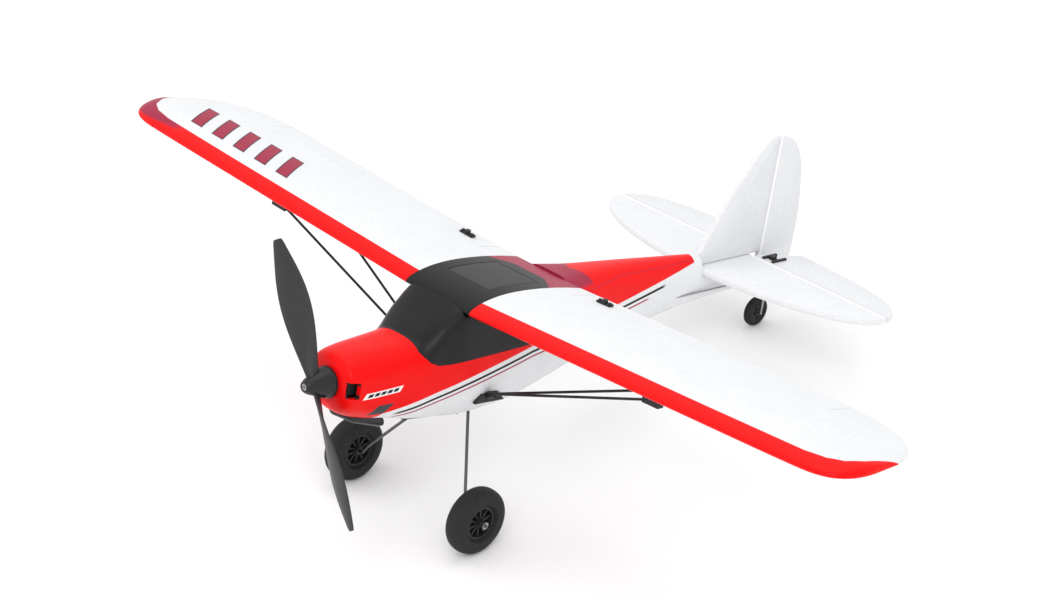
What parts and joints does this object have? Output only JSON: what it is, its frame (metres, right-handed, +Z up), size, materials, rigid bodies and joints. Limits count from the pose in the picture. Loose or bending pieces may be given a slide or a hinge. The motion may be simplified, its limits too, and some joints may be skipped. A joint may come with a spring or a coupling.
{
  "type": "rc high-wing aeroplane",
  "caption": "Radio-controlled high-wing foam aeroplane with strut-braced wings, geared propeller, moving control surfaces and a steerable tail wheel.",
  "frame": {"origin": "on the ground under the middle of the overall length, with all three wheels on z = 0", "axes": "+X to the left wing tip, +Y towards the tail, +Z up; the body stands nose-up on its three wheels"},
  "size_m": [0.4504, 0.3204, 0.1435],
  "materials": {
    "foam": "moulded bead foam",
    "cabin_black": "satin paint on foam",
    "black_plastic": "moulded, satin",
    "prop_plastic": "moulded nylon, satin",
    "rubber": "soft rubber",
    "steel": "spring wire, bright",
    "strut_black": "black wire and carbon rod",
    "brass": "turned",
    "gear_nylon": "moulded nylon",
    "servo_white": "moulded nylon",
    "servo_blue": "translucent case",
    "battery_wrap": "shrink wrap",
    "board_green": "solder mask",
    "plywood": "bare ply"
  },
  "bodies": {
    "airframe": {"fuselage_left": "foam", "fuselage_right": "foam", "cabin_roof": "cabin_black", "hatch_magnets": "steel", "chin_scoop": "black_plastic", "door_pin": "steel", "motor_mount": "black_plastic", "shaft_bushes": "brass", "motor": "steel", "battery": "battery_wrap", "receiver_board": "board_green", "servo_tray": "plywood", "elevator_servo": "servo_blue", "rudder_servo": "servo_blue", "aileron_servo_left": "servo_blue", "aileron_servo_right": "servo_blue", "wing_joiner": "strut_black", "wing_left": "foam", "wing_right": "foam", "stabiliser": "foam", "fin": "foam", "body_strut_brackets": "black_plastic", "wing_strut_brackets": "black_plastic", "wing_struts": "strut_black", "gear_leg_left": "steel", "gear_leg_right": "steel", "gear_clamp": "black_plastic", "wheel_collars": "steel"},
    "propeller": {"propeller": "prop_plastic", "spinner": "black_plastic", "spinner_screw": "steel", "prop_shaft": "steel", "spur_gear": "gear_nylon"},
    "motor_pinion": {"pinion": "brass"},
    "wheel_left": {"tyre_left": "rubber", "hub_left": "black_plastic"},
    "wheel_right": {"tyre_right": "rubber", "hub_right": "black_plastic"},
    "tail_wheel": {"tail_tyre": "rubber", "tail_hub": "black_plastic"},
    "aileron_left": {"aileron_left": "foam", "aileron_horn_left": "black_plastic"},
    "aileron_right": {"aileron_right": "foam", "aileron_horn_right": "black_plastic"},
    "aileron_arm_left": {"aileron_arm_left": "servo_white"},
    "aileron_arm_right": {"aileron_arm_right": "servo_white"},
    "aileron_link_left": {"aileron_link_left": "steel"},
    "aileron_link_right": {"aileron_link_right": "steel"},
    "elevator": {"elevator": "foam", "elevator_joiner": "steel", "elevator_horn": "black_plastic"},
    "rudder": {"rudder": "foam", "rudder_horn": "black_plastic", "tail_gear_wire": "steel"},
    "elevator_servo_arm": {"elevator_servo_arm": "servo_white"},
    "rudder_servo_arm": {"rudder_servo_arm": "servo_white"},
    "elevator_pushrod": {"elevator_pushrod": "steel"},
    "rudder_pushrod": {"rudder_pushrod": "steel"},
    "roof_hatch": {"roof_hatch": "cabin_black"},
    "battery_door": {"battery_door": "black_plastic"}
  },
  "joints": [
    {"name": "prop_spin", "type": "hinge", "parent": "airframe", "child": "propeller", "pos_m": [0, -0.14759, 0.09076], "axis": [0, 0.9734, -0.2289], "continuous": true},
    {"name": "pinion_spin", "type": "hinge", "parent": "airframe", "child": "motor_pinion", "pos_m": [0, -0.14986, 0.08112], "axis": [0, 0.9734, -0.2289], "continuous": true},
    {"name": "wheel_left_spin", "type": "hinge", "parent": "airframe", "child": "wheel_left", "pos_m": [0.0402, -0.09535, 0.0154], "axis": [1, 0, 0], "continuous": true},
    {"name": "wheel_right_spin", "type": "hinge", "parent": "airframe", "child": "wheel_right", "pos_m": [-0.0402, -0.09535, 0.0154], "axis": [1, 0, 0], "continuous": true},
    {"name": "aileron_left_hinge", "type": "hinge", "parent": "airframe", "child": "aileron_left", "pos_m": [0.03063, -0.02483, 0.09296], "axis": [0.9988, 0.0113, 0.0482], "range_deg": [-25, 25]},
    {"name": "aileron_right_hinge", "type": "hinge", "parent": "airframe", "child": "aileron_right", "pos_m": [-0.03063, -0.02483, 0.09296], "axis": [0.9988, -0.0113, -0.0482], "range_deg": [-25, 25]},
    {"name": "aileron_arm_left_turn", "type": "hinge", "parent": "airframe", "child": "aileron_arm_left", "pos_m": [0.04396, -0.04827, 0.09812], "axis": [0.9988, 0.0113, 0.0482], "range_deg": [-30.5, 30.5]},
    {"name": "aileron_arm_right_turn", "type": "hinge", "parent": "airframe", "child": "aileron_arm_right", "pos_m": [-0.04396, -0.04827, 0.09812], "axis": [0.9988, -0.0113, -0.0482], "range_deg": [-30.5, 30.5]},
    {"name": "aileron_link_left_slide", "type": "slide", "parent": "airframe", "child": "aileron_link_left", "axis": [0, 0.9734, -0.2289], "range_m": [-0.0027, 0.0027]},
    {"name": "aileron_link_right_slide", "type": "slide", "parent": "airframe", "child": "aileron_link_right", "axis": [0, 0.9734, -0.2289], "range_m": [-0.0027, 0.0027]},
    {"name": "elevator_hinge", "type": "hinge", "parent": "airframe", "child": "elevator", "pos_m": [0, 0.12327, 0.04124], "axis": [1, 0, 0], "range_deg": [-20, 20]},
    {"name": "elevator_arm_turn", "type": "hinge", "parent": "airframe", "child": "elevator_servo_arm", "pos_m": [0, -0.03747, 0.06979], "axis": [0, 0.2289, 0.9734], "range_deg": [-26, 26]},
    {"name": "elevator_pushrod_slide", "type": "slide", "parent": "airframe", "child": "elevator_pushrod", "axis": [0, 0.9734, -0.2289], "range_m": [-0.0032, 0.0032]},
    {"name": "rudder_hinge", "type": "hinge", "parent": "airframe", "child": "rudder", "pos_m": [0, 0.13705, 0.06491], "axis": [0, 0.2289, 0.9734], "range_deg": [-25, 25]},
    {"name": "rudder_arm_turn", "type": "hinge", "parent": "airframe", "child": "rudder_servo_arm", "pos_m": [0, -0.05888, 0.07483], "axis": [0, 0.2289, 0.9734], "range_deg": [-25.5, 25.5]},
    {"name": "rudder_pushrod_slide", "type": "slide", "parent": "airframe", "child": "rudder_pushrod", "axis": [0, 0.9734, -0.2289], "range_m": [-0.0031, 0.0031]},
    {"name": "tail_wheel_spin", "type": "hinge", "parent": "rudder", "child": "tail_wheel", "pos_m": [0, 0.13043, 0.0075], "axis": [1, 0, 0], "continuous": true},
    {"name": "roof_hatch_lift", "type": "slide", "parent": "airframe", "child": "roof_hatch", "axis": [0, 0.2289, 0.9734], "range_m": [0, 0.03]},
    {"name": "battery_door_hinge", "type": "hinge", "parent": "airframe", "child": "battery_door", "pos_m": [0, -0.07643, 0.04782], "axis": [1, 0, 0], "range_deg": [0, 80]}
  ],
  "couplings": [
    {"joint": "pinion_spin", "follows": "prop_spin", "ratio": -4.5},
    {"joint": "aileron_right_hinge", "follows": "aileron_left_hinge", "ratio": -1},
    {"joint": "aileron_arm_left_turn", "follows": "aileron_left_hinge", "ratio": 1.2},
    {"joint": "aileron_arm_right_turn", "follows": "aileron_left_hinge", "ratio": -1.2},
    {"joint": "aileron_link_left_slide", "follows": "aileron_left_hinge", "m_per_rad": 0.006},
    {"joint": "aileron_link_right_slide", "follows": "aileron_left_hinge", "m_per_rad": -0.006},
    {"joint": "elevator_arm_turn", "follows": "elevator_hinge", "ratio": 1.2857},
    {"joint": "elevator_pushrod_slide", "follows": "elevator_hinge", "m_per_rad": 0.009},
    {"joint": "rudder_arm_turn", "follows": "rudder_hinge", "ratio": 1},
    {"joint": "rudder_pushrod_slide", "follows": "rudder_hinge", "m_per_rad": -0.007}
  ]
}
